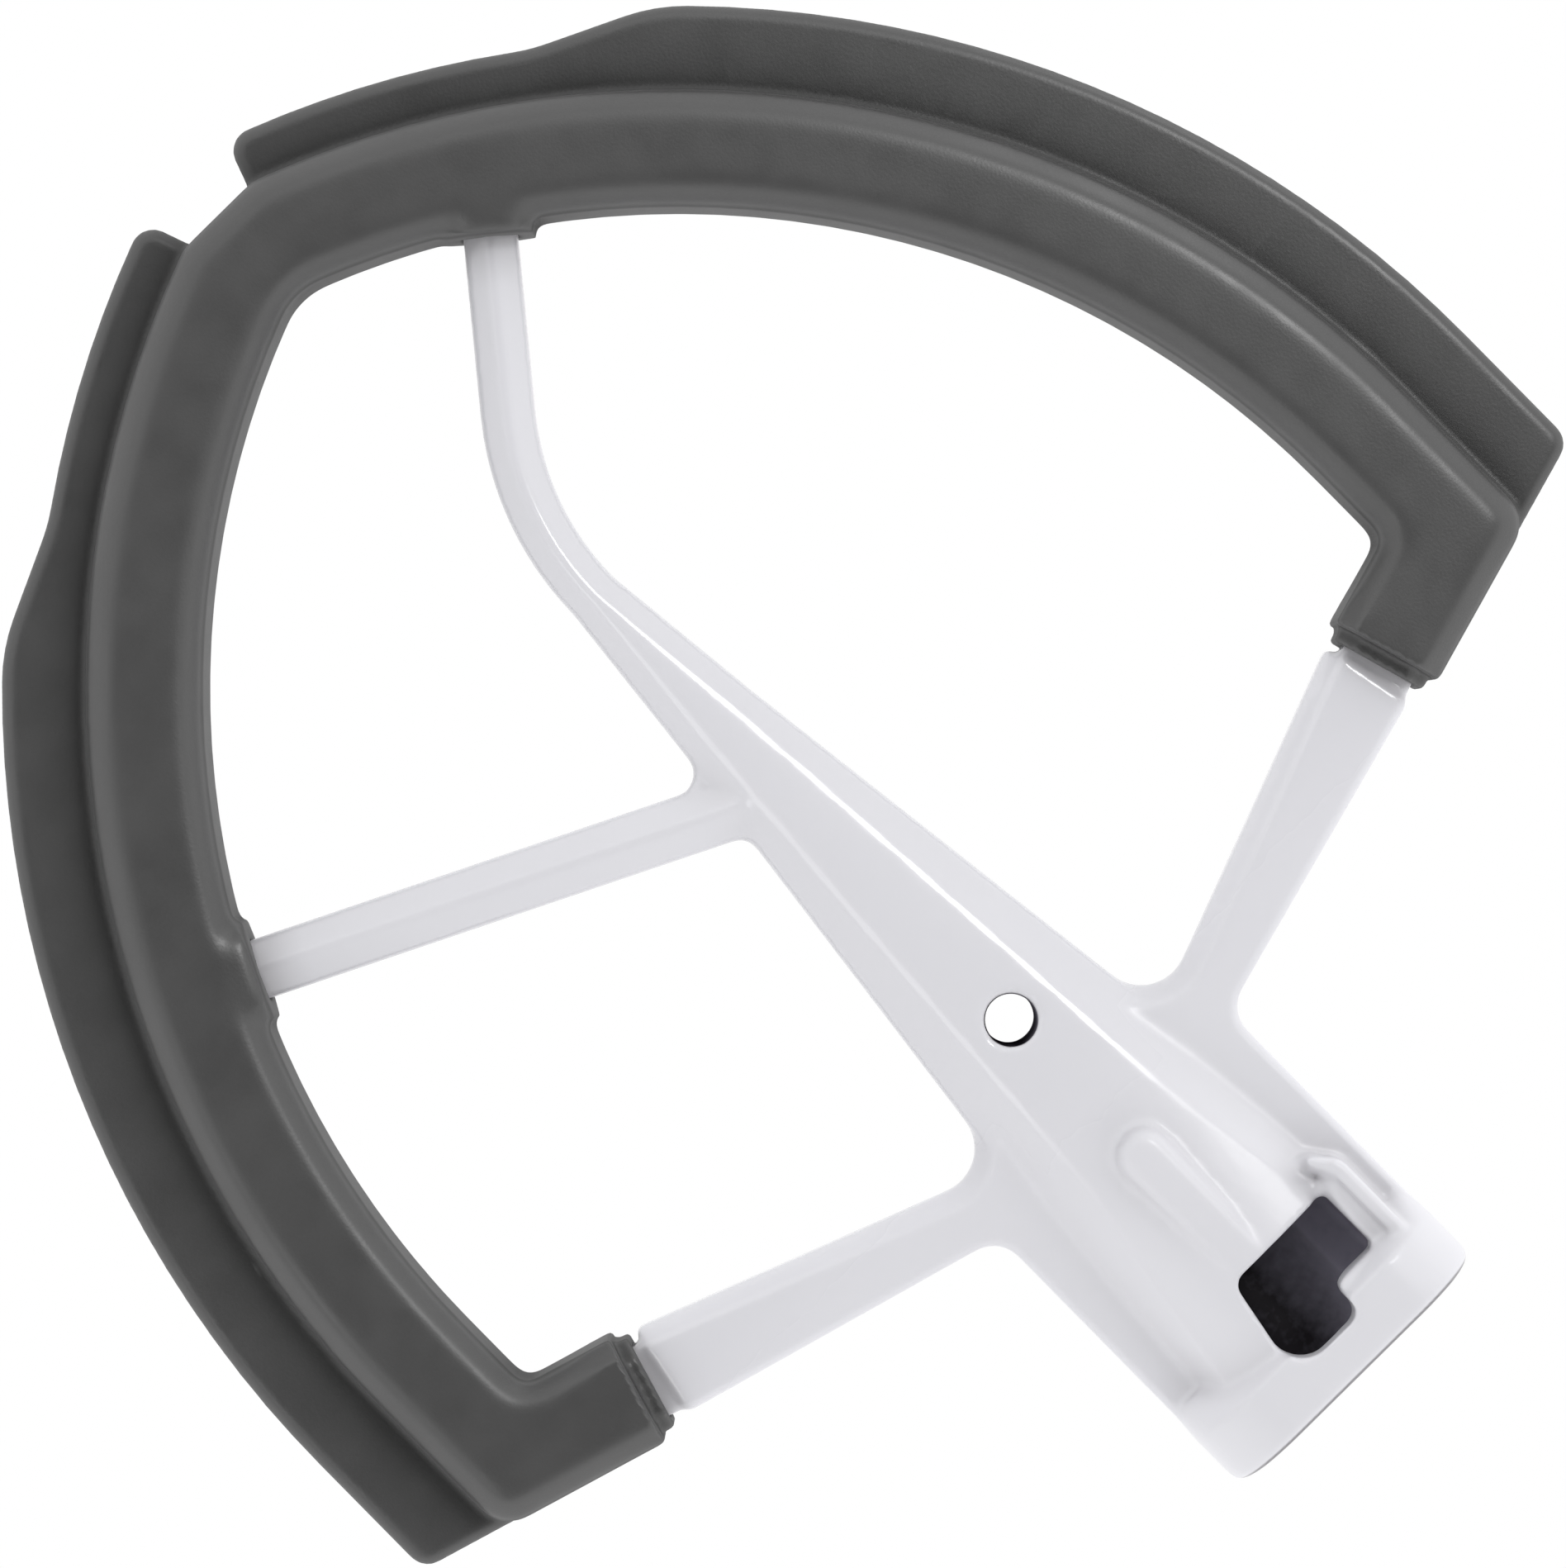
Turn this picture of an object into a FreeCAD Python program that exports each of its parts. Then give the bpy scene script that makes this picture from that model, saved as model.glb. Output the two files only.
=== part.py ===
"""Flat beater for a tilt-head stand mixer: a cast frame with a moulded flexible edge.

The frame hangs from its socket. The origin is the middle of the socket's mouth, +Z runs up the
drive shaft, the beater lies in the XZ plane and its front faces -Y. Lengths are in millimetres
and angles in degrees.
"""
import FreeCAD, Part
import math
import os
import re
import Sketcher

doc = FreeCAD.newDocument("flat_beater")

# Driving sizes. A drop is a distance below the socket's mouth, a half depth or half width is
# measured from the middle plane, and a slope is an angle below the horizontal.
SIZES = {
    # hub
    "hub_half_width": 15.6,
    "hub_length": 33.0,
    "head_height": 6.0,
    "head_half_depth": 10.3,
    "head_corner": 7.5,
    "head_top_round": 1.0,
    "skirt_height": 3.2,
    "skirt_half_depth": 4.4,
    "skirt_corner": 3.0,
    "flange_half_width": 15.4,
    "barrel_half_width": 12.2,
    "barrel_wall": 3.2,
    "barrel_shoulder": 10.6,
    "barrel_half_depth": 9.6,
    "barrel_crown": 2.3,
    "valley_round": 1.0,
    # shaft socket with its bayonet slot
    "socket_radius": 6.45,
    "socket_depth": 25.0,
    "keyway_half_width": 3.1,
    "keyway_reach": 9.55,
    "window_right": 3.8,
    "window_neck": 4.2,
    "window_top_drop": 4.2,
    "window_shelf_drop": 7.6,
    "window_foot_drop": 14.5,
    "window_lean": 1.3,
    "window_round": 1.4,
    "window_crown_round": 3.2,
    "window_shelf_round": 1.0,
    # rib and lip on the hub's front
    "rib_half_width": 2.6,
    "rib_half_depth": 8.2,
    "rib_end_gap": 1.4,
    "rib_end_round": 2.4,
    "rib_round": 1.5,
    "lip_x": 12.25,
    "lip_half_width": 0.8,
    "lip_half_depth": 8.1,
    "lip_bend_drop": 15.4,
    "lip_bend_round": 2.0,
    "lip_turn": 38.0,
    "lip_run": 3.4,
    "lip_end_round": 0.7,
    "lip_round": 0.55,
    "shelf_half_depth": 6.9,
    "shelf_gap": 0.3,
    # stem, which narrows to a knee and then to the bend
    "stem_top_half": 11.2,
    "stem_top_flat": 5.8,
    "stem_top_depth": 5.95,
    "stem_top_wall": 2.9,
    "stem_knee_drop": 86.7,
    "stem_knee_half": 4.48,
    "stem_knee_flat": 2.3,
    "stem_knee_depth": 3.1,
    "stem_knee_wall": 1.6,
    "stem_crown": 0.35,
    "bar_half_width": 2.65,
    "bar_ridge": 0.4,
    "bar_half_depth": 2.9,
    "bar_wall": 1.4,
    "hang_hole_radius": 2.5,
    "hang_hole_drop": 47.0,
    # tail, the stem's bent end
    "tail_corner_drop": 114.2,
    "tail_angle": 39.0,
    "tail_bend_radius": 29.0,
    # strut on the other side
    "strut_drop": 77.6,
    "strut_slope": 25.9,
    "strut_half_width": 2.95,
    "root_round": 2.4,
    "root_sink": 0.1,
    "root_half_depth": 1.65,
    # arms
    "arm_half_depth": 3.5,
    "arm_top_rise": 4.4,
    "arm_top_slope": 15.3,
    "arm_foot_fall": 0.3,
    "arm_foot_slope": 20.9,
    "arm_root_round": 3.3,
    "arm_foot_round": 4.4,
    "arm_web_drop": 7.0,
    "arm_bevel_width": 2.1,
    "arm_bevel_depth": 1.8,
    "arm_edge_round": 0.7,
    "arm_neck_top": 3.5,
    "arm_neck_foot": 5.3,
    # loop: arcs about a point beyond the middle, with straight sides above them
    "arc_offset": 29.05,
    "loop_side": 8.07,
    "core_cover": 1.9,
    "core_half_depth": 2.9,
    # sleeve moulded over the loop
    "sleeve_inner_radius": 86.67,
    "sleeve_width": 11.27,
    "sleeve_half_depth": 7.0,
    "sleeve_inner_bevel": 1.9,
    "sleeve_outer_bevel": 2.1,
    "sleeve_rise": 1.37,
    "sleeve_slope": 16.2,
    "sleeve_turn": 5.82,
    "sleeve_floor": 10.34,
    "sleeve_corner": 3.7,
    "sleeve_inner_corner": 1.7,
    "sleeve_crotch_round": 7.0,
    "ring_length": 1.5,
    "ring_inset": 0.8,
    "ring_sink": 2.0,
    # blades
    "blade_width": 8.41,
    "lower_blade_width": 5.16,
    "blade_half_depth": 1.3,
    "blade_corner": 2.2,
    "blade_edge_bevel": 0.8,
    "blade_step_angle": 46.7,
    "blade_step_run": 6.7,
    "blade_step_round": 18.0,
    "blade_end_gap": 5.62,
    # collars of the edge round the strut and the tail
    "collar_reach": 0.9,
    "collar_half_depth": 6.8,
    "collar_wall": 4.6,
    "collar_slope": 1.7,
    "strut_collar_half": 5.0,
    "tail_collar_half": 4.3,
}

sheet = doc.addObject("Spreadsheet::Sheet", "Sizes")
for row, (alias, size) in enumerate(SIZES.items(), start=1):
    sheet.set(f"A{row}", alias.replace("_", " "))
    sheet.set(f"B{row}", str(size))
    sheet.setAlias(f"B{row}", alias)
doc.recompute()


def sized(text):
    """The expression with each size read from the sheet."""
    return re.sub(r"[a-z]+(?:_[a-z]+)+", lambda name: "Sizes." + name.group(0), text)


def number(text):
    """The value of an expression in the sheet's sizes."""
    return float(sheet.evalExpression(sized(text)))


def bind(item, prop, text):
    item.setExpression(prop, sized(text))


def origin_plane(body, role):
    return next(plane for plane in body.Origin.OriginFeatures if plane.Role == role)


def new_sketch(body, name, role, lift=None):
    """A sketch on one of the body's origin planes, lifted along its normal."""
    sketch = body.newObject("Sketcher::SketchObject", name)
    sketch.AttachmentSupport = [(origin_plane(body, role), "")]
    sketch.MapMode = "FlatFace"
    if lift:
        bind(sketch, ".AttachmentOffset.Base.z", lift)
    return sketch


def draw(sketch, corners, closed=True, rounds=None):
    """An outline through corners (x, y), or (x, y, radius, side) where an arc leads to the next
    corner and bows to that side of the way there. Rounds gives some corners a radius."""
    first = sketch.GeometryCount
    spots = [FreeCAD.Vector(number(corner[0]), number(corner[1]), 0) for corner in corners]
    ends = []
    edges = len(corners) if closed else len(corners) - 1
    for index, corner in enumerate(corners[:edges]):
        start, stop = spots[index], spots[(index + 1) % len(spots)]
        if len(corner) == 2:
            sketch.addGeometry(Part.LineSegment(start, stop), False)
            ends.append((1, 2))
            continue
        radius = number(corner[2])
        chord = stop - start
        left = FreeCAD.Vector(-chord.y, chord.x, 0).normalize()
        rise = math.sqrt(radius ** 2 - (chord.Length / 2) ** 2)
        turn = 1 if corner[3] == "right" else -1
        centre = (start + stop) / 2 + left * rise * turn
        circle = Part.Circle(centre, FreeCAD.Vector(0, 0, 1), radius)
        angles = [math.atan2(spot.y - centre.y, spot.x - centre.x) for spot in (start, stop)]
        if turn < 0:
            angles.reverse()
        sketch.addGeometry(Part.ArcOfCircle(circle, *angles), False)
        ends.append((1, 2) if turn > 0 else (2, 1))
        ring = sketch.addConstraint(Sketcher.Constraint("Radius", first + index, radius))
        bind(sketch, f"Constraints[{ring}]", corner[2])
    for index, corner in enumerate(corners):
        line, here = (index, 0) if index < edges else (edges - 1, 1)
        line, here = first + line, ends[line][here]
        if closed or 0 < index < edges:
            before = first + (index - 1) % len(corners)
            join = Sketcher.Constraint("Coincident", before, ends[index - 1][1], line, here)
            sketch.addConstraint(join)
        place_point(sketch, line, here, corner)
    for index, radius in (rounds or {}).items():
        sides = [first + (index - 1) % len(corners), first + index]
        middles = [sketch.Geometry[side].value(sketch.Geometry[side].length() / 2) for side in sides]
        arc = sketch.GeometryCount
        sketch.fillet(*sides, *middles, number(radius), True, True)
        ring = sketch.addConstraint(Sketcher.Constraint("Radius", arc, number(radius)))
        bind(sketch, f"Constraints[{ring}]", radius)
    return sketch


def place_point(sketch, line, point, spot):
    """Ties a point of the sketch to a place given as two expressions."""
    for kind, text in zip(("DistanceX", "DistanceY"), spot):
        mark = sketch.addConstraint(Sketcher.Constraint(kind, -1, 1, line, point, number(text)))
        bind(sketch, f"Constraints[{mark}]", text)


def draw_circle(sketch, centre, radius):
    middle = FreeCAD.Vector(number(centre[0]), number(centre[1]), 0)
    circle = sketch.addGeometry(Part.Circle(middle, FreeCAD.Vector(0, 0, 1), number(radius)), False)
    place_point(sketch, circle, 3, centre)
    ring = sketch.addConstraint(Sketcher.Constraint("Radius", circle, number(radius)))
    bind(sketch, f"Constraints[{ring}]", radius)
    return sketch


def mirrored(corners):
    """Corners of the right side followed by their mirror images, walked back."""
    def flip(text):
        return f"-({text})"
    left = []
    for index in range(len(corners) - 1, -1, -1):
        spot = [flip(corners[index][0]), corners[index][1]]
        if index > 0:
            spot += list(corners[index - 1][2:])
        left.append(tuple(spot))
    return corners + left


def pad(body, name, sketch, length):
    feature = body.newObject("PartDesign::Pad", name)
    feature.Profile = sketch
    bind(feature, "Length", length)
    doc.recompute()
    return feature


def loft(body, name, sections):
    feature = body.newObject("PartDesign::AdditiveLoft", name)
    feature.Profile = sections[0]
    feature.Sections = sections[1:]
    feature.Ruled = True
    doc.recompute()
    return feature


def pocket(body, name, sketch, length, forward=False):
    """A cut behind the sketch, or in front of it."""
    before = body.Tip.Shape.Volume
    feature = body.newObject("PartDesign::Pocket", name)
    feature.Profile = sketch
    feature.Reversed = forward
    bind(feature, "Length", length)
    doc.recompute()
    if feature.Shape.Volume > before - NEAR:
        raise RuntimeError(f"{name} cuts nothing")
    return feature


def pick(feature, test):
    """The names of the feature's edges that pass a test."""
    return [f"Edge{index}" for index, edge in enumerate(feature.Shape.Edges, start=1) if test(edge)]


def dress(body, kind, name, test, **sizes):
    """A fillet or chamfer on the edges of the body's last feature that pass a test."""
    base = body.Tip
    feature = body.newObject("PartDesign::" + kind, name)
    feature.Base = (base, pick(base, test))
    if kind == "Chamfer":
        feature.ChamferType = "Two distances"
    for prop, text in sizes.items():
        bind(feature, prop, text)
    doc.recompute()
    return feature


NEAR = 0.02


def straight_at(direction, **place):
    """A test for an edge along a direction that passes a place, or its mirror image in X."""
    spot = FreeCAD.Vector(*(number(place.get(axis, "0")) for axis in "xyz"))
    twin = FreeCAD.Vector(-spot.x, spot.y, spot.z)

    def test(edge):
        if not isinstance(edge.Curve, Part.Line) or edge.Curve.Direction.cross(direction).Length > NEAR:
            return False
        offsets = [(edge.Vertexes[0].Point - centre).cross(direction).Length for centre in (spot, twin)]
        return min(offsets) < NEAR
    return test


def upright_at(x, z):
    """A test for an edge that runs from front to back at a place in the plan."""
    return straight_at(FreeCAD.Vector(0, 1, 0), x=x, z=z)


def front_arc(radius, half_depth):
    """A test for an arc of a given radius on a face that looks to the front."""
    def test(edge):
        return (isinstance(edge.Curve, Part.Circle)
                and abs(edge.Curve.Radius - number(radius)) < NEAR
                and abs(edge.CenterOfMass.y + number(half_depth)) < NEAR)
    return test


def front_line(x, z, half_depth):
    """A test for a straight edge on a front face that passes a place in the plan."""
    def test(edge):
        spot = Part.Vertex(abs(number(x)), -number(half_depth), number(z))
        twin = Part.Vertex(-abs(number(x)), -number(half_depth), number(z))
        flat = all(abs(vertex.Point.y + number(half_depth)) < NEAR for vertex in edge.Vertexes)
        return flat and min(edge.distToShape(spot)[0], edge.distToShape(twin)[0]) < NEAR
    return test


def either(*tests):
    return lambda edge: any(test(edge) for test in tests)


def mirror_left(body, name, original):
    """Repeats a feature of the right side on the left."""
    feature = body.newObject("PartDesign::Mirrored", name)
    feature.Originals = [original]
    feature.MirrorPlane = (origin_plane(body, "YZ_Plane"), [""])
    body.Tip = feature
    doc.recompute()
    return feature


def mirror_front_to_back(body):
    feature = body.newObject("PartDesign::Mirrored", body.Name + "_back")
    feature.TransformMode = "Whole shape"
    feature.MirrorPlane = (origin_plane(body, "XZ_Plane"), [""])
    body.Tip = feature
    doc.recompute()
    return feature


# Places and lines of the plan that several features share.

ARM_TOP_DROP = "(hub_length - arm_top_rise)"
ARM_FOOT_DROP = "(hub_length + arm_foot_fall)"
RIB_END_Z = "rib_end_gap - hub_length"
OUTER_RADIUS = "(sleeve_inner_radius + sleeve_width)"
MIDDLE_RADIUS = "(sleeve_inner_radius + sleeve_width / 2)"
BLADE_RADIUS = f"({OUTER_RADIUS} + blade_width)"
LOWER_BLADE_RADIUS = f"({OUTER_RADIUS} + lower_blade_width)"
INNER_X = "(sleeve_inner_radius - arc_offset)"
OUTER_X = f"({OUTER_RADIUS} - arc_offset)"
SLEEVE_END = f"({INNER_X} - sleeve_turn)"
ARM_END_TOP = f"({SLEEVE_END} - arm_neck_top)"
ARM_END_FOOT = f"({SLEEVE_END} - arm_neck_foot)"
SLEEVE_TOP_DROP = (f"({ARM_TOP_DROP} - sleeve_rise"
                   f" + {SLEEVE_END} * (tan(arm_top_slope) - tan(sleeve_slope)))")
INNER_CORNER_FALL = f"(sleeve_width / cos(sleeve_slope) + {INNER_X} * tan(sleeve_slope))"
ARC_DROP = f"({SLEEVE_TOP_DROP} + {INNER_CORNER_FALL} + loop_side)"
CROTCH_DROP = f"({ARC_DROP} + sqrt(sleeve_inner_radius^2 - arc_offset^2))"
FLOOR_DROP = f"({CROTCH_DROP} + sleeve_floor)"
BLADE_STEP_END = "(blade_step_angle + blade_step_run)"
BLADE_END = f"acos((blade_end_gap + arc_offset) / {LOWER_BLADE_RADIUS})"


def arm_top(x):
    return f"-{ARM_TOP_DROP} - ({x}) * tan(arm_top_slope)"


def arm_foot(x):
    return f"-{ARM_FOOT_DROP} - ({x}) * tan(arm_foot_slope)"


def sleeve_top(x, inset="0"):
    return f"-{SLEEVE_TOP_DROP} - ({inset}) / cos(sleeve_slope) - ({x}) * tan(sleeve_slope)"


def sleeve_foot(x, inset="0"):
    return sleeve_top(x, f"sleeve_width - ({inset})")


def loop_x(radius, angle):
    return f"({radius}) * cos({angle}) - arc_offset"


def loop_z(radius, angle):
    return f"-{ARC_DROP} - ({radius}) * sin({angle})"


TAIL_TANGENT = "(tail_bend_radius * tan(tail_angle / 2))"
BEND_DROP = f"(tail_corner_drop - {TAIL_TANGENT})"
STEM_TAPER = "((stem_top_half - stem_knee_half) / (stem_knee_drop - hub_length))"


def reach(drop, across, down):
    """How far a straight bar runs from the middle line to the middle of the loop."""
    fall = f"({drop} - {ARC_DROP})"
    lean = f"(arc_offset * {across} + {fall} * {down})"
    return f"(sqrt({lean}^2 - arc_offset^2 - {fall}^2 + {MIDDLE_RADIUS}^2) - {lean})"


TAIL_REACH = reach("tail_corner_drop", "sin(tail_angle)", "cos(tail_angle)")
STRUT_REACH = reach("strut_drop", "cos(strut_slope)", "sin(strut_slope)")


def tail_x(distance):
    return f"-({distance}) * sin(tail_angle)"


def tail_z(distance):
    return f"-tail_corner_drop - ({distance}) * cos(tail_angle)"


def stem_side(z):
    return f"stem_top_half + {STEM_TAPER} * (hub_length + ({z}))"


def loop_corners(inset, end_top, end_foot):
    """The plan of the loop, from one arm's end round to the other's, drawn in by an inset."""
    outer = f"({OUTER_RADIUS} - {inset})"
    inner = f"(sleeve_inner_radius + {inset})"
    floor = f"({FLOOR_DROP} - {inset})"
    outer_x = f"{outer} - arc_offset"
    inner_x = f"{inner} - arc_offset"
    floor_x = f"sqrt({outer}^2 - ({floor} - {ARC_DROP})^2) - arc_offset"
    crotch_z = f"-{ARC_DROP} - sqrt({inner}^2 - arc_offset^2)"
    outside = mirrored([
        (end_top, sleeve_top(end_top, inset)),
        (outer_x, sleeve_top(outer_x, inset)),
        (outer_x, f"-{ARC_DROP}", outer, "left"),
        (floor_x, f"-{floor}"),
    ])
    inside = [
        (f"-({end_foot})", sleeve_foot(end_foot, inset)),
        (f"-({inner_x})", sleeve_foot(inner_x, inset)),
        (f"-({inner_x})", f"-{ARC_DROP}", inner, "right"),
        ("0", crotch_z, inner, "right"),
        (inner_x, f"-{ARC_DROP}"),
        (inner_x, sleeve_foot(inner_x, inset)),
        (end_foot, sleeve_foot(end_foot, inset)),
    ]
    return outside + inside


def section(sketch, half, wall, flat, depth, crown):
    """The front half of a bar's section: side walls, bevels and a slightly crowned front."""
    front = f"({depth}) - ({crown})"
    bow = f"(({flat})^2 + ({crown})^2) / (2 * ({crown}))"
    return draw(sketch, [
        (f"-({half})", "0"),
        (f"-({half})", f"-({wall})"),
        (f"-({flat})", f"-({front})", bow, "right"),
        (flat, f"-({front})"),
        (half, f"-({wall})"),
        (half, "0"),
    ])


def slanted_sketch(body, name, x, z, turn):
    """A sketch at a place in the plan, square to the XZ plane and turned about Y."""
    sketch = new_sketch(body, name, "XY_Plane")
    about_y = FreeCAD.Rotation(FreeCAD.Vector(0, 1, 0), number(turn))
    sketch.AttachmentOffset = FreeCAD.Placement(FreeCAD.Vector(), about_y)
    bind(sketch, ".AttachmentOffset.Base.x", x)
    bind(sketch, ".AttachmentOffset.Base.z", z)
    bind(sketch, ".AttachmentOffset.Rotation.Angle", turn)
    return sketch


STEM_LEAN = f"(atan({STEM_TAPER}) / 1 deg)"


def strut_x(distance):
    return f"({distance}) * cos(strut_slope)"


def strut_z(distance):
    return f"-strut_drop - ({distance}) * sin(strut_slope)"


# Cast frame: first its front half.

frame = doc.addObject("PartDesign::Body", "cast_frame")
frame.Label = "cast_frame"

ARM_CORNER_X = (f"(stem_top_half - {STEM_TAPER} * arm_foot_fall)"
                f" / (1 + {STEM_TAPER} * tan(arm_foot_slope))")
ARM_CORNER_Z = arm_foot(ARM_CORNER_X)
PLATE_FOOT_Z = f"{ARM_CORNER_Z} - arm_web_drop"

plate_plan = draw(new_sketch(frame, "arm_plan", "XZ_Plane"), mirrored([
    ("flange_half_width", "-head_height / 2"),
    ("flange_half_width", arm_top("flange_half_width")),
    (ARM_END_TOP, arm_top(ARM_END_TOP)),
    (ARM_END_FOOT, arm_foot(ARM_END_FOOT)),
    (ARM_CORNER_X, ARM_CORNER_Z),
    (stem_side(PLATE_FOOT_Z), PLATE_FOOT_Z),
]))
pad(frame, "arms", plate_plan, "arm_half_depth")
dress(frame, "Fillet", "arm_root", upright_at("flange_half_width", arm_top("flange_half_width")),
      Radius="arm_root_round")
dress(frame, "Fillet", "arm_foot", upright_at(ARM_CORNER_X, ARM_CORNER_Z), Radius="arm_foot_round")
dress(frame, "Chamfer", "arm_bevel", front_arc("arm_foot_round", "arm_half_depth"),
      Size="arm_bevel_width", Size2="arm_bevel_depth")
dress(frame, "Fillet", "arm_edge", front_arc("arm_root_round", "arm_half_depth"),
      Radius="arm_edge_round")

head_plan = draw(new_sketch(frame, "head_plan", "XY_Plane"), [
    ("-hub_half_width", "0"),
    ("-hub_half_width", "-head_half_depth"),
    ("hub_half_width", "-head_half_depth"),
    ("hub_half_width", "0"),
])
pad(frame, "head", head_plan, "head_height").Reversed = True
doc.recompute()
dress(frame, "Fillet", "head_corners",
      straight_at(FreeCAD.Vector(0, 0, 1), x="hub_half_width", y="-head_half_depth"),
      Radius="head_corner")
dress(frame, "Fillet", "head_top", front_line("0", "0", "head_half_depth"), Radius="head_top_round")
skirt_sections = []
for name, drop, half, depth, corner in (
        ("skirt_top", "head_height", "hub_half_width", "head_half_depth", "head_corner"),
        ("skirt_foot", "head_height + skirt_height", "flange_half_width", "skirt_half_depth",
         "skirt_corner")):
    skirt_sections.append(draw(new_sketch(frame, name, "XY_Plane", f"-({drop})"), [
        (f"-{half}", "0"),
        (f"-{half}", f"{corner} - {depth}", corner, "right"),
        (f"{corner} - {half}", f"-{depth}"),
        (f"{half} - {corner}", f"-{depth}", corner, "right"),
        (half, f"{corner} - {depth}"),
        (half, "0"),
    ]))
loft(frame, "skirt", skirt_sections)

rib_plan = draw(new_sketch(frame, "rib_plan", "XZ_Plane"), [
    ("-rib_half_width", "-head_height / 2"),
    ("rib_half_width", "-head_height / 2"),
    ("rib_half_width", RIB_END_Z),
    ("-rib_half_width", RIB_END_Z),
])
pad(frame, "rib", rib_plan, "rib_half_depth")
dress(frame, "Fillet", "rib_end", upright_at("rib_half_width", RIB_END_Z), Radius="rib_end_round")
dress(frame, "Fillet", "rib_edge", front_arc("rib_end_round", "rib_half_depth"), Radius="rib_round")

CORE_END = f"{ARM_END_FOOT} - arm_half_depth"
core_plan = draw(new_sketch(frame, "core_plan", "XZ_Plane"),
                 loop_corners("core_cover", CORE_END, CORE_END))
pad(frame, "core", core_plan, "core_half_depth")

stem_sections = [
    section(new_sketch(frame, "barrel_top", "XY_Plane", "-head_height / 2"), "barrel_half_width",
            "barrel_wall", "barrel_shoulder", "barrel_half_depth", "barrel_crown"),
    section(new_sketch(frame, "stem_top", "XY_Plane", "-hub_length"), "stem_top_half",
            "stem_top_wall", "stem_top_flat", "stem_top_depth", "stem_crown"),
    section(new_sketch(frame, "stem_knee", "XY_Plane", "-stem_knee_drop"), "stem_knee_half",
            "stem_knee_wall", "stem_knee_flat", "stem_knee_depth", "stem_crown"),
    section(new_sketch(frame, "bar_top", "XY_Plane", f"-{BEND_DROP}"), "bar_half_width",
            "bar_wall", "bar_ridge", "bar_half_depth", "bar_ridge / 4"),
]
loft(frame, "stem", stem_sections)

tail_section = section(new_sketch(frame, "tail_section", "XY_Plane", f"-{BEND_DROP}"),
                       "bar_half_width", "bar_wall", "bar_ridge", "bar_half_depth", "bar_ridge / 4")
tail_path = draw(new_sketch(frame, "tail_path", "XZ_Plane"), [
    ("0", f"-{BEND_DROP}", "tail_bend_radius", "left"),
    (tail_x(TAIL_TANGENT), tail_z(TAIL_TANGENT)),
    (tail_x(TAIL_REACH), tail_z(TAIL_REACH)),
], closed=False)
tail = frame.newObject("PartDesign::AdditivePipe", "tail")
tail.Profile = tail_section
tail.Spine = tail_path
doc.recompute()

strut_start = slanted_sketch(frame, "strut_section", strut_x("0"), strut_z("0"), "90 + strut_slope")
strut_section = section(strut_start, "strut_half_width", "bar_wall", "bar_ridge", "bar_half_depth",
                        "bar_ridge / 4")
pad(frame, "strut", strut_section, STRUT_REACH)


def valley(edge):
    """Where the barrel and the stem rise from the front of the arms and the hub's sides."""
    spots = [vertex.Point for vertex in edge.Vertexes]
    return (all(abs(spot.y + number("arm_half_depth")) < NEAR for spot in spots)
            and all(number(ARM_CORNER_Z) < spot.z < -number("head_height / 2") for spot in spots)
            and all(abs(spot.x) < number("barrel_half_width") + NEAR for spot in spots))


dress(frame, "Fillet", "valleys", valley, Radius="valley_round")

for name, side, way in (("strut_root_above", "1", "right"), ("strut_root_below", "-1", "left")):
    wall = f"{side} * (strut_half_width - root_sink)"
    level = f"(strut_drop - hub_length - {wall} * cos(strut_slope))"
    stem_half = f"stem_top_half - root_sink - {level} * {STEM_TAPER}"
    out = (f"({stem_half} - {wall} * sin(strut_slope)) /"
           f" (cos(strut_slope) + sin(strut_slope) * {STEM_TAPER})")
    corner_x = f"{strut_x(out)} + {wall} * sin(strut_slope)"
    corner_z = f"{strut_z(out)} + {wall} * cos(strut_slope)"
    run = f"root_round / tan((90 + {side} * (strut_slope - {STEM_LEAN})) / 2)"
    root_plan = draw(new_sketch(frame, name + "_plan", "XZ_Plane"), [
        (f"{corner_x} + {side} * {run} * sin({STEM_LEAN})",
         f"{corner_z} + {side} * {run} * cos({STEM_LEAN})", "root_round", way),
        (f"{corner_x} + {run} * cos(strut_slope)", f"{corner_z} - {run} * sin(strut_slope)"),
        (strut_x("strut_half_width"), strut_z("strut_half_width")),
    ])
    pad(frame, name, root_plan, "root_half_depth")

mirror_front_to_back(frame)

# Socket, bayonet slot and hanging hole.

socket_plan = draw_circle(new_sketch(frame, "socket_plan", "XY_Plane"), ("0", "0"), "socket_radius")
pocket(frame, "socket", socket_plan, "socket_depth")

keyway_plan = draw(new_sketch(frame, "keyway_plan", "XY_Plane"), [
    ("0", "-keyway_half_width"),
    ("0", "keyway_half_width"),
    ("-keyway_reach", "keyway_half_width"),
    ("-keyway_reach", "-keyway_half_width"),
])
pocket(frame, "keyway", keyway_plan, "window_foot_drop")

window_plan = draw(new_sketch(frame, "window_plan", "XZ_Plane"), [
    ("-keyway_reach", "-window_foot_drop"),
    ("window_right - window_lean", "-window_foot_drop"),
    ("window_right", "-window_shelf_drop"),
    ("window_right", "-window_top_drop"),
    ("-window_neck", "-window_top_drop"),
    ("-window_neck", "-window_shelf_drop"),
    ("-keyway_reach", "-window_shelf_drop"),
], rounds={1: "window_round", 3: "window_crown_round", 4: "window_round", 5: "window_shelf_round"})
pocket(frame, "window", window_plan, "2 * head_half_depth", forward=True)

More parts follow.
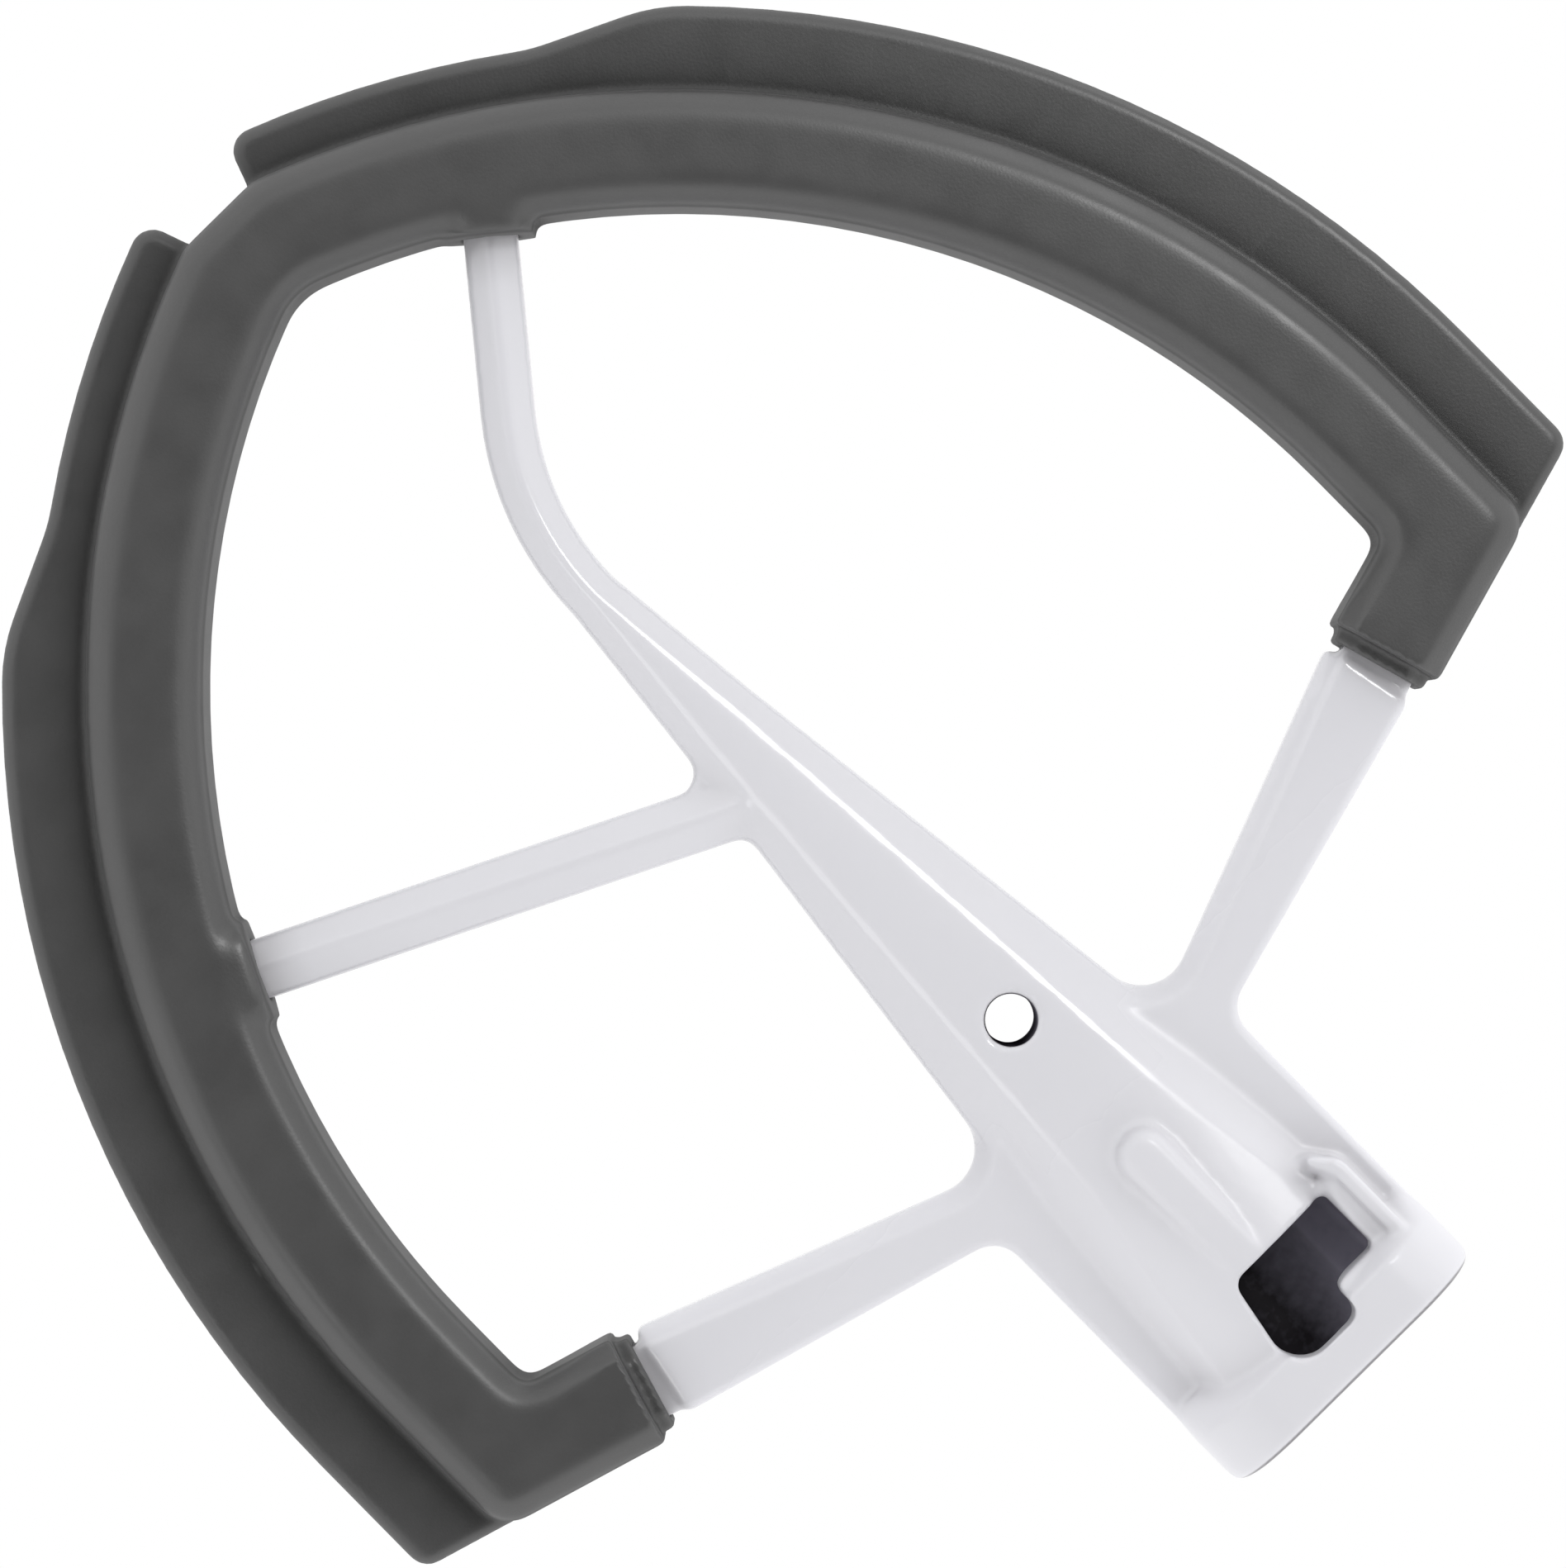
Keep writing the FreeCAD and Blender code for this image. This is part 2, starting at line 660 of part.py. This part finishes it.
shelf_plan = draw(new_sketch(frame, "shelf_plan", "XZ_Plane"), [
    ("-lip_x", "-head_height / 2"),
    ("-lip_x", "-lip_bend_drop"),
    ("-keyway_reach - shelf_gap", "-lip_bend_drop"),
    ("-keyway_reach - shelf_gap", "-head_height / 2"),
])
pad(frame, "shelf", shelf_plan, "shelf_half_depth")

LIP_END_X = "lip_run * sin(lip_turn) - lip_x"
LIP_END_Z = "-lip_bend_drop - lip_run * cos(lip_turn)"
lip_plan = draw(new_sketch(frame, "lip_plan", "XZ_Plane"), [
    ("-lip_x - lip_half_width", "-head_height / 2"),
    ("-lip_x - lip_half_width", "-lip_bend_drop - lip_half_width * tan(lip_turn / 2)"),
    (f"{LIP_END_X} - lip_half_width * cos(lip_turn)", f"{LIP_END_Z} - lip_half_width * sin(lip_turn)"),
    (f"{LIP_END_X} + lip_half_width * cos(lip_turn)", f"{LIP_END_Z} + lip_half_width * sin(lip_turn)"),
    ("lip_half_width - lip_x", "lip_half_width * tan(lip_turn / 2) - lip_bend_drop"),
    ("lip_half_width - lip_x", "-head_height / 2"),
], rounds={1: "lip_bend_round", 2: "lip_end_round", 3: "lip_end_round"})
pad(frame, "lip", lip_plan, "lip_half_depth")


def lip_front(edge):
    """The lip's front edge, apart from where it meets the head."""
    spots = [vertex.Point for vertex in edge.Vertexes]
    return (all(abs(spot.y + number("lip_half_depth")) < NEAR for spot in spots)
            and min(spot.z for spot in spots) < -number("head_height + skirt_height"))


dress(frame, "Fillet", "lip_edge", lip_front, Radius="lip_round")

hole_plan = draw_circle(new_sketch(frame, "hole_plan", "XZ_Plane"), ("0", "-hang_hole_drop"),
                        "hang_hole_radius")
hole = pocket(frame, "hang_hole", hole_plan, "2 * head_half_depth")
hole.Midplane = True
doc.recompute()

# Flexible edge: a sleeve over the loop, with a blade along each side.

sleeve = doc.addObject("PartDesign::Body", "sleeve_mould")
SLEEVE_END_FOOT = f"{SLEEVE_END} - sleeve_width * sin(sleeve_slope)"
sleeve_plan = draw(new_sketch(sleeve, "sleeve_plan", "XZ_Plane"),
                   loop_corners("0", SLEEVE_END, SLEEVE_END_FOOT))
pad(sleeve, "sleeve", sleeve_plan, "sleeve_half_depth")
FLOOR_X = f"sqrt({OUTER_RADIUS}^2 - ({FLOOR_DROP} - {ARC_DROP})^2) - arc_offset"
for name, x, z, radius in (
        ("sleeve_corners", OUTER_X, sleeve_top(OUTER_X), "sleeve_corner"),
        ("sleeve_floor", FLOOR_X, f"-{FLOOR_DROP}", "sleeve_corner"),
        ("sleeve_inner", INNER_X, sleeve_foot(INNER_X), "sleeve_inner_corner"),
        ("sleeve_crotch", "0", f"-{CROTCH_DROP}", "sleeve_crotch_round")):
    dress(sleeve, "Fillet", name, upright_at(x, z), Radius=radius)
for name, radius, width in (("inner_bevel", "sleeve_inner_radius", "sleeve_inner_bevel"),
                            ("outer_bevel", OUTER_RADIUS, "sleeve_outer_bevel")):
    dress(sleeve, "Chamfer", name, front_arc(radius, "sleeve_half_depth"), Size=width, Size2=width)

ring_start = slanted_sketch(sleeve, "ring_section", f"{SLEEVE_END} - ring_length * cos(sleeve_slope)",
                            f"{sleeve_top(SLEEVE_END)} + ring_length * sin(sleeve_slope)",
                            "90 + sleeve_slope")
ring_sketch = draw(ring_start, [
    ("ring_inset", "0"),
    ("ring_inset", "sleeve_outer_bevel + ring_sink - sleeve_half_depth"),
    ("sleeve_outer_bevel + ring_inset", "ring_sink - sleeve_half_depth"),
    ("sleeve_width - sleeve_inner_bevel - ring_inset", "ring_sink - sleeve_half_depth"),
    ("sleeve_width - ring_inset", "sleeve_inner_bevel + ring_sink - sleeve_half_depth"),
    ("sleeve_width - ring_inset", "0"),
])
ring = pad(sleeve, "ring", ring_sketch, "2 * ring_length")
mirror_left(sleeve, "rings", ring)

COLLAR_LENGTH = "sleeve_width / 2 + collar_reach"
for name, x, z, turn, stop, half in (
        ("strut_collar", strut_x, strut_z, "90 + strut_slope", STRUT_REACH, "strut_collar_half"),
        ("tail_collar", tail_x, tail_z, "180 + tail_angle", TAIL_REACH, "tail_collar_half")):
    start = f"{stop} - ({COLLAR_LENGTH})"
    collar_section = section(slanted_sketch(sleeve, name + "_section", x(start), z(start), turn), half,
                             "collar_wall", f"{half} - collar_slope", "collar_half_depth", "bar_ridge / 4")
    pad(sleeve, name, collar_section, COLLAR_LENGTH)
mirror_front_to_back(sleeve)

blades = doc.addObject("PartDesign::Body", "blade_mould")
blade_plan = new_sketch(blades, "blade_plan", "XZ_Plane")
MIDDLE_X = f"{MIDDLE_RADIUS} - arc_offset"
BLADE_X = f"{BLADE_RADIUS} - arc_offset"
blade_corners = [
    (MIDDLE_X, sleeve_top(MIDDLE_X)),
    (BLADE_X, sleeve_top(BLADE_X)),
    (BLADE_X, f"-{ARC_DROP}", BLADE_RADIUS, "left"),
    (loop_x(BLADE_RADIUS, "blade_step_angle"), loop_z(BLADE_RADIUS, "blade_step_angle")),
    (loop_x(LOWER_BLADE_RADIUS, BLADE_STEP_END), loop_z(LOWER_BLADE_RADIUS, BLADE_STEP_END),
     LOWER_BLADE_RADIUS, "left"),
    (loop_x(LOWER_BLADE_RADIUS, BLADE_END), loop_z(LOWER_BLADE_RADIUS, BLADE_END)),
    (loop_x(MIDDLE_RADIUS, BLADE_END), loop_z(MIDDLE_RADIUS, BLADE_END), MIDDLE_RADIUS, "right"),
    (MIDDLE_X, f"-{ARC_DROP}"),
]
draw(blade_plan, blade_corners)
draw(blade_plan, mirrored(blade_corners)[len(blade_corners):])
pad(blades, "blades", blade_plan, "blade_half_depth")
dress(blades, "Fillet", "blade_corners", either(
    upright_at(*blade_corners[1][:2]), upright_at(*blade_corners[5][:2])), Radius="blade_corner")
dress(blades, "Fillet", "blade_step", either(
    upright_at(*blade_corners[3][:2]), upright_at(*blade_corners[4][:2])), Radius="blade_step_round")
dress(blades, "Chamfer", "blade_edge", front_arc(BLADE_RADIUS, "blade_half_depth"),
      Size="blade_edge_bevel", Size2="blade_edge_bevel")
mirror_front_to_back(blades)


mould = doc.addObject("Part::MultiFuse", "mould")
mould.Shapes = [sleeve, blades]
mould.Refine = True

flex_edge = doc.addObject("Part::Cut", "flex_edge")
flex_edge.Label = "flex_edge"
flex_edge.Base = mould
flex_edge.Tool = frame
doc.recompute()

for item in doc.Objects:
    if "Invalid" in item.State or "Error" in item.State:
        raise RuntimeError(f"{item.Name} failed")
nodes = [frame, flex_edge]
for node in nodes:
    if node.Shape.isNull() or not node.Shape.isValid():
        raise RuntimeError(f"{node.Label} has no sound shape")
os.makedirs("parts", exist_ok=True)
for node in nodes:
    node.Shape.exportStep(f"parts/{node.Label}.step")
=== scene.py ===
"""Flat beater of a stand mixer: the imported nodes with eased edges, their finishes and the photo's view."""
import bpy
from mathutils import Matrix, Vector


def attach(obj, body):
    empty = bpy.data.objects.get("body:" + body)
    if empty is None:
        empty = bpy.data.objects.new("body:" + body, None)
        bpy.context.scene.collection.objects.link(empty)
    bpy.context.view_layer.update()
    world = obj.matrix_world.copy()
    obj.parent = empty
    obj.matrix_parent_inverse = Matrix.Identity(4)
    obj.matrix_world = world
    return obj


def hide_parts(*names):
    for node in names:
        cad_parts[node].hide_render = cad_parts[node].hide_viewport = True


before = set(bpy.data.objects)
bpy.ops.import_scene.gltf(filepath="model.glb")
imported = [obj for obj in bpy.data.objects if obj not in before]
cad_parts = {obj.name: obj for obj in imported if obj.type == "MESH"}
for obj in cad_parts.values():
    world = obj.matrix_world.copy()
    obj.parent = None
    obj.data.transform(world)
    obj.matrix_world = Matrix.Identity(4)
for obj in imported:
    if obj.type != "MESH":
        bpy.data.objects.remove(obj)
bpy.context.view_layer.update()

MM = 0.001

# Eased copies: the remesh's cell, and the share of its triangles that is kept.
CELL = 0.35 * MM
SHARE_KEPT = 0.4

# The point under the pocket lip's end that takes the most easing.
LIP_END = Vector((-10.2, -6.2, -16.4)) * MM

# Where more easing fades in, in millimetres: none at the first place, all at the second.
LIP_REACH = (2.8, 1.8)
CORNER_SIDE = (12.5, 15.0)
CORNER_TOP = (-4.0, -1.5)
BELOW_HUB = (24.0, 34.0)
PAST_END_SIDE = (51.0, 54.0)
PAST_END_BELOW = (60.0, 64.0)
SHOULDER_DEPTH = (3.4, 5.4)

# How much of it the hub's corners take, and all that is below the hub.
CORNER_SHARE = 0.2
BELOW_HUB_SHARE = 0.12

# Where the frame's bare metal, painted dark as shade, fades in, by the same rule. RIM is where the mouth's
# end face starts, painted dark as a shade line.
SOCKET_WALL = (6.9, 6.5)
SOCKET_FLOOR = (-25.6, -25.2)
MOUTH = (-0.3, -0.9)
KEYWAY_SIDE = (3.5, 3.2)
KEYWAY_START = (0.5, 0.0)
KEYWAY_END = (-10.1, -9.8)
KEYWAY_FOOT = (-15.2, -14.8)
HOLE_WALL = (2.62, 2.54)
RIM = (-0.45, -0.25)

# The hanging hole's middle lies this far below the mouth, in millimetres.
HOLE_DROP = 47.0

# The bare metal is painted dark as shade on the +X side of the socket, and with painted light towards the
# keyway.
LIGHTER_METAL = (1.0, -5.5)

# The hub and the roots of the arms have a duller coat than the stem. It fades in by the same rule.
DULL_HUB = (-40.0, -32.0)
DULL_ROOT_SIDE = (7.0, 8.2)
DULL_ROOT = (-45.0, -39.0)

COAT_DIM, COAT_PALE = (0.770, 0.767, 0.806, 1), (0.780, 0.777, 0.814, 1)
# Painted shade for the coat in nooks.
COAT_SHADE = (0.52, 0.51, 0.53, 1)
# The mouth's end face, painted dark as a shade line, with turned rings between the two tones.
RIM_SHADE_DARK, RIM_SHADE_PALE = (0.17, 0.165, 0.175, 1), (0.25, 0.24, 0.26, 1)
# Bare metal, painted near black as the shade inside the socket and hole, and with painted light towards the
# keyway.
METAL_SHADED, METAL_LIT = (0.010, 0.008, 0.011, 1), (0.23, 0.22, 0.27, 1)
RUBBER_DIM, RUBBER_PALE = (0.025, 0.0248, 0.0248, 1), (0.030, 0.0297, 0.0297, 1)
RUBBER_GRAIN = (0.037, 0.0367, 0.0367, 1)
# Painted shade for the rubber in nooks.
RUBBER_SHADE = (0.012, 0.012, 0.0115, 1)
FLOOR_DIM, FLOOR_PALE = (0.80, 0.80, 0.80, 1), (0.83, 0.83, 0.83, 1)

# The floor is well below the hanging part.
FLOOR_SIZE = 1.6
FLOOR_HEIGHT = -0.42

# Round soft boxes that face the part's middle: name, place, size and power.
MIDDLE = Vector((0.0, 0.0, -0.078))
LAMPS = (
    ("key", (-0.45, -0.72, -0.12), 0.22, 1.30),
    ("side", (-0.72, 0.0, -0.50), 0.50, 0.6),
    ("fill", (0.45, -0.72, -0.12), 0.25, 0.22),
)

# Light of the studio's walls: dim round the camera, brightest at the sides, as in a light tent.
# Glossy surfaces mirror white walls at the sides, and hardly any white from round the camera.
WALL_AT_CAMERA = 0.18
WALL_AT_SIDES = 1.82
WALL_AT_BACK = 1.0
MIRRORED_AT_CAMERA = 0.02

# The camera is square to the part's front and turned so that the hub is at the lower right.
CAMERA_PLACE = Vector((-0.0003, -0.650, -0.0783))
CAMERA_RIGHT = Vector((-0.7121, 0, 0.7020))
CAMERA_UP = Vector((-0.7020, 0, -0.7121))
CAMERA_BACK = Vector((0, -1, 0))
LENS = 155.3
SENSOR_WIDTH = 36.0


def modified(piece):
    """The piece's mesh with its modifiers worked in."""
    graph = bpy.context.evaluated_depsgraph_get()
    mesh = bpy.data.meshes.new_from_object(piece.evaluated_get(graph))
    piece.modifiers.clear()
    piece.data = mesh
    return mesh


def softened(node, name, softness, passes, soft_passes):
    """A copy of a node with its edges eased, as a mould and a coat leave them. It stands for the node.
    Softness says, from 0 to 1, how far a place takes the soft passes as well."""
    piece = bpy.data.objects.new(name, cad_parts[node].data.copy())
    bpy.context.scene.collection.objects.link(piece)
    remesh = piece.modifiers.new("remesh", "REMESH")
    remesh.mode = "VOXEL"
    remesh.voxel_size = CELL
    mesh = modified(piece)
    group = piece.vertex_groups.new(name="soft")
    for vertex in mesh.vertices:
        weight = softness(vertex.co)
        if weight > 0:
            group.add([vertex.index], weight, "REPLACE")
    for count, limit in ((passes, ""), (soft_passes, group.name)):
        smooth = piece.modifiers.new("smooth", "SMOOTH")
        smooth.factor = 0.5
        smooth.iterations = count
        smooth.vertex_group = limit
    thin = piece.modifiers.new("thin", "DECIMATE")
    thin.ratio = SHARE_KEPT
    mesh = modified(piece)
    piece.vertex_groups.clear()
    mesh.name = name
    for polygon in mesh.polygons:
        polygon.use_smooth = True
    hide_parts(node)
    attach(piece, "root")
    return piece


def ramp(length, places):
    """From 0 at the first of two places to 1 at the second, both in millimetres."""
    none_at, full_at = (place * MM for place in places)
    return min(max((length - none_at) / (full_at - none_at), 0.0), 1.0)


def frame_softness(place):
    """Most under the lip's end, some on the hub's corners, the stem, the strut and the arms."""
    under_lip = ramp((place - LIP_END).length, LIP_REACH)
    corners = ramp(abs(place.x), CORNER_SIDE) * ramp(place.z, CORNER_TOP)
    below_hub = ramp(-place.z, BELOW_HUB)
    return max(under_lip, CORNER_SHARE * corners, BELOW_HUB_SHARE * below_hub)


def edge_softness(place):
    """Only on the sleeve's shoulders: none on the blades and none at the sleeve's ends."""
    past_end = max(ramp(abs(place.x), PAST_END_SIDE), ramp(-place.z, PAST_END_BELOW))
    return past_end * ramp(abs(place.y), SHOULDER_DEPTH)


class Tree:
    """Short hand for the node tree of a material or a world."""

    def __init__(self, owner):
        owner.use_nodes = True
        self.owner = owner
        self.nodes = owner.node_tree.nodes
        self.links = owner.node_tree.links

    def add(self, kind, inputs, **settings):
        node = self.nodes.new("ShaderNode" + kind)
        for key, value in settings.items():
            setattr(node, key, value)
        for key, value in inputs.items():
            self.put(node, key, value)
        return node

    def put(self, node, key, value):
        if isinstance(value, bpy.types.NodeSocket):
            self.links.new(value, node.inputs[key])
        else:
            node.inputs[key].default_value = value

    def shade(self, key, value):
        """Sets an input of the material's own shader."""
        self.put(self.nodes["Principled BSDF"], key, value)

    def spot(self, kind):
        return self.add("TexCoord", {}).outputs[kind]

    def axes(self, kind):
        return self.add("SeparateXYZ", {"Vector": self.spot(kind)}).outputs

    def math(self, operation, first, second=0.0, clamp=False):
        return self.add("Math", {0: first, 1: second}, operation=operation, use_clamp=clamp).outputs[0]

    def product(self, first, *others):
        for other in others:
            first = self.math("MULTIPLY", first, other)
        return first

    def length(self, first, second):
        squares = self.math("ADD", self.product(first, first), self.product(second, second))
        return self.math("SQRT", squares)

    def spread(self, value, low, high, to_low=0.0, to_high=1.0):
        limits = {"From Min": low, "From Max": high, "To Min": to_low, "To Max": to_high}
        return self.add("MapRange", {"Value": value, **limits}).outputs["Result"]

    def fade(self, value, places):
        """From 0 at the first of two places to 1 at the second, both in millimetres."""
        none_at, full_at = places
        return self.spread(value, none_at * MM, full_at * MM)

    def noise(self, scale, detail):
        inputs = {"Vector": self.spot("Object"), "Scale": scale, "Detail": detail}
        return self.add("TexNoise", inputs).outputs["Fac"]

    def cloud(self, scale, detail, low=0.0, high=1.0):
        """Noise with its middle part spread from low to high."""
        return self.spread(self.noise(scale, detail), 0.3, 0.7, low, high)

    def mix(self, share, first, second):
        return self.add("Mix", {0: share, 6: first, 7: second}, data_type="RGBA").outputs[2]

    def bump(self, height, strength, distance, **below):
        inputs = {"Height": height, "Strength": strength, "Distance": distance, **below}
        return self.add("Bump", inputs).outputs["Normal"]


def white_coat():
    """Gloss coat over a casting, faintly clouded, with painted shade in its nooks and on the mouth's end
    face, and bare metal painted dark as shade in its socket, slot and hole.
    """
    tree = Tree(bpy.data.materials.new("white_coat"))
    x, y, z = tree.axes("Object")
    # Bare metal in the socket, keyway and hole, painted dark as their shade.
    in_socket = tree.product(
        tree.fade(tree.length(x, y), SOCKET_WALL), tree.fade(z, SOCKET_FLOOR), tree.fade(z, MOUTH))
    in_keyway = tree.product(
        tree.fade(tree.math("ABSOLUTE", y), KEYWAY_SIDE), tree.fade(x, KEYWAY_START),
        tree.fade(x, KEYWAY_END), tree.fade(z, MOUTH), tree.fade(z, KEYWAY_FOOT))
    in_hole = tree.fade(tree.length(x, tree.math("ADD", z, HOLE_DROP * MM)), HOLE_WALL)
    bare_and_shaded = tree.math("MAXIMUM", tree.math("MAXIMUM", in_socket, in_keyway), in_hole, clamp=True)
    root = tree.product(tree.fade(tree.math("ABSOLUTE", x), DULL_ROOT_SIDE), tree.fade(z, DULL_ROOT))
    dull = tree.math("MAXIMUM", root, tree.fade(z, DULL_HUB))

    # Colour: painted shade darkens the coat in nooks, and the mouth's end face is painted dark as a shade
    # line, with turned rings in it.
    open_air = tree.add("AmbientOcclusion", {"Distance": 5 * MM}, samples=2).outputs["AO"]
    coat = tree.mix(tree.cloud(55.0, 3.0), COAT_DIM, COAT_PALE)
    coat = tree.mix(tree.spread(open_air, 0.95, 0.45), coat, COAT_SHADE)
    rings = tree.add("TexWave", {"Vector": tree.spot("Object"), "Scale": 785.0, "Distortion": 0.6},
                     wave_type="RINGS", rings_direction="Z").outputs["Fac"]
    coat = tree.mix(tree.fade(z, RIM), coat, tree.mix(rings, RIM_SHADE_DARK, RIM_SHADE_PALE))
    # Painted light on the bare metal towards the keyway, with a faint random mottle.
    lit_and_mottled = tree.math("ADD", tree.fade(x, LIGHTER_METAL), tree.cloud(900.0, 2.0, -0.08, 0.08))
    metal = tree.mix(lit_and_mottled, METAL_SHADED, METAL_LIT)
    tree.shade("Base Color", tree.mix(bare_and_shaded, coat, metal))

    # Gloss: full on the stem and the arms, less on the hub, and none in the hole.
    rougher = tree.math("ADD", tree.math("MULTIPLY", bare_and_shaded, 0.2), tree.math("MULTIPLY", dull, 0.14))
    tree.shade("Roughness", tree.math("ADD", tree.cloud(120.0, 3.0, 0.16, 0.20), rougher))
    shine = tree.spread(bare_and_shaded, 0.0, 1.0, 0.5, 0.15)
    tree.shade("Specular IOR Level", tree.product(shine, tree.math("SUBTRACT", 1.0, in_hole)))
    lacquer = tree.spread(dull, 0.0, 1.0, 0.6, 0.05)
    tree.shade("Coat Weight", tree.product(tree.math("SUBTRACT", 1.0, bare_and_shaded), lacquer))
    tree.shade("Coat Roughness", 0.08)

    # Relief: fine orange peel under long shallow waves.
    peel = tree.bump(tree.noise(700.0, 2.0), 0.10, 0.12 * MM)
    tree.shade("Normal", tree.bump(tree.noise(110.0, 2.0), 0.10, 0.4 * MM, Normal=peel))
    return tree.owner


def grey_rubber():
    """Satin flexible moulding with the fine grain of its mould, with painted shade and less gloss in nooks,
    and rougher on steep walls.
    """
    tree = Tree(bpy.data.materials.new("grey_rubber"))
    grain = tree.noise(3600.0, 2.0)
    # Painted shade: the base colour goes darker in nooks, where the sleeve's walls shade the blade, and the
    # specular fades there too.
    open_air = tree.add("AmbientOcclusion", {"Distance": 9 * MM}, samples=2, only_local=True).outputs["AO"]
    open_air = tree.spread(open_air, 0.45, 0.9)
    tone = tree.mix(tree.cloud(60.0, 4.0), RUBBER_DIM, RUBBER_PALE)
    tone = tree.mix(tree.math("MULTIPLY", tree.spread(grain, 0.35, 0.65), 0.35), tone, RUBBER_GRAIN)
    tree.shade("Base Color", tree.mix(open_air, RUBBER_SHADE, tone))
    facing = tree.math("ABSOLUTE", tree.axes("Normal")["Y"])
    steep = tree.spread(facing, 0.5, 0.2, 0.0, 0.5)
    tree.shade("Roughness", tree.math("ADD", tree.cloud(200.0, 3.0, 0.35, 0.43), steep))
    tree.shade("IOR", 1.6)
    tree.shade("Specular IOR Level", tree.spread(open_air, 0.0, 1.0, 0.03, 0.9))
    tree.shade("Sheen Weight", 0.15)
    tree.shade("Sheen Roughness", 0.28)
    tree.shade("Normal", tree.bump(grain, 0.14, 0.1 * MM))
    return tree.owner


def pale_floor():
    """Matt floor with a faint cloud."""
    tree = Tree(bpy.data.materials.new("pale_floor"))
    tree.shade("Base Color", tree.mix(tree.cloud(6.0, 3.0), FLOOR_DIM, FLOOR_PALE))
    tree.shade("Roughness", 0.8)
    return tree.owner


def softbox(name, place, size, power):
    """A round lamp that faces the part's middle."""
    lamp = bpy.data.lights.new(name, "AREA")
    lamp.shape = "DISK"
    lamp.size = size
    lamp.energy = power
    holder = bpy.data.objects.new(name, lamp)
    bpy.context.scene.collection.objects.link(holder)
    holder.location = place
    holder.rotation_euler = (MIDDLE - Vector(place)).to_track_quat("-Z", "Y").to_euler()


def studio():
    """Walls that the camera and mirrors see as white, and whose light changes along the view."""
    tree = Tree(bpy.data.worlds.new("studio"))
    depth = tree.axes("Generated")["Y"]
    to_sides = tree.spread(depth, -1.0, 0.0, WALL_AT_CAMERA, WALL_AT_SIDES)
    to_back = tree.spread(depth, 0.0, 0.3, 0.0, WALL_AT_SIDES - WALL_AT_BACK)
    walls = tree.math("SUBTRACT", to_sides, to_back)
    path = tree.add("LightPath", {}).outputs
    mirrored = tree.product(path["Is Glossy Ray"], tree.spread(depth, -1.0, 0.0, MIRRORED_AT_CAMERA, 1.0))
    seen = tree.math("MAXIMUM", path["Is Camera Ray"], path["Is Transmission Ray"])
    white = tree.math("MAXIMUM", seen, mirrored)
    level = tree.add("Mix", {"Factor": white, "A": walls, "B": 1.0}).outputs["Result"]
    tree.put(tree.nodes["Background"], "Color", (1, 1, 1, 1))
    tree.put(tree.nodes["Background"], "Strength", level)
    return tree.owner


def photograph_camera():
    """The photograph's view."""
    lens = bpy.data.cameras.new("camera")
    lens.lens = LENS
    lens.sensor_width = SENSOR_WIDTH
    camera = bpy.data.objects.new("camera", lens)
    bpy.context.scene.collection.objects.link(camera)
    turn = Matrix((CAMERA_RIGHT, CAMERA_UP, CAMERA_BACK)).transposed()
    camera.matrix_world = Matrix.Translation(CAMERA_PLACE) @ turn.to_4x4()
    return camera


frame_copy = softened("cast_frame", "beater_frame", frame_softness, passes=4, soft_passes=100)
edge_copy = softened("flex_edge", "beater_edge", edge_softness, passes=3, soft_passes=60)
for piece, material in ((frame_copy, white_coat()), (edge_copy, grey_rubber())):
    piece.data.materials.clear()
    piece.data.materials.append(material)

bpy.ops.mesh.primitive_plane_add(size=FLOOR_SIZE, location=(0, 0, FLOOR_HEIGHT))
floor = bpy.context.object
floor.name = "floor"
floor.data.materials.append(pale_floor())

for name, place, size, power in LAMPS:
    softbox(name, place, size, power)
bpy.context.scene.world = studio()
bpy.context.scene.camera = photograph_camera()
bpy.context.scene.view_settings.view_transform = "Standard"
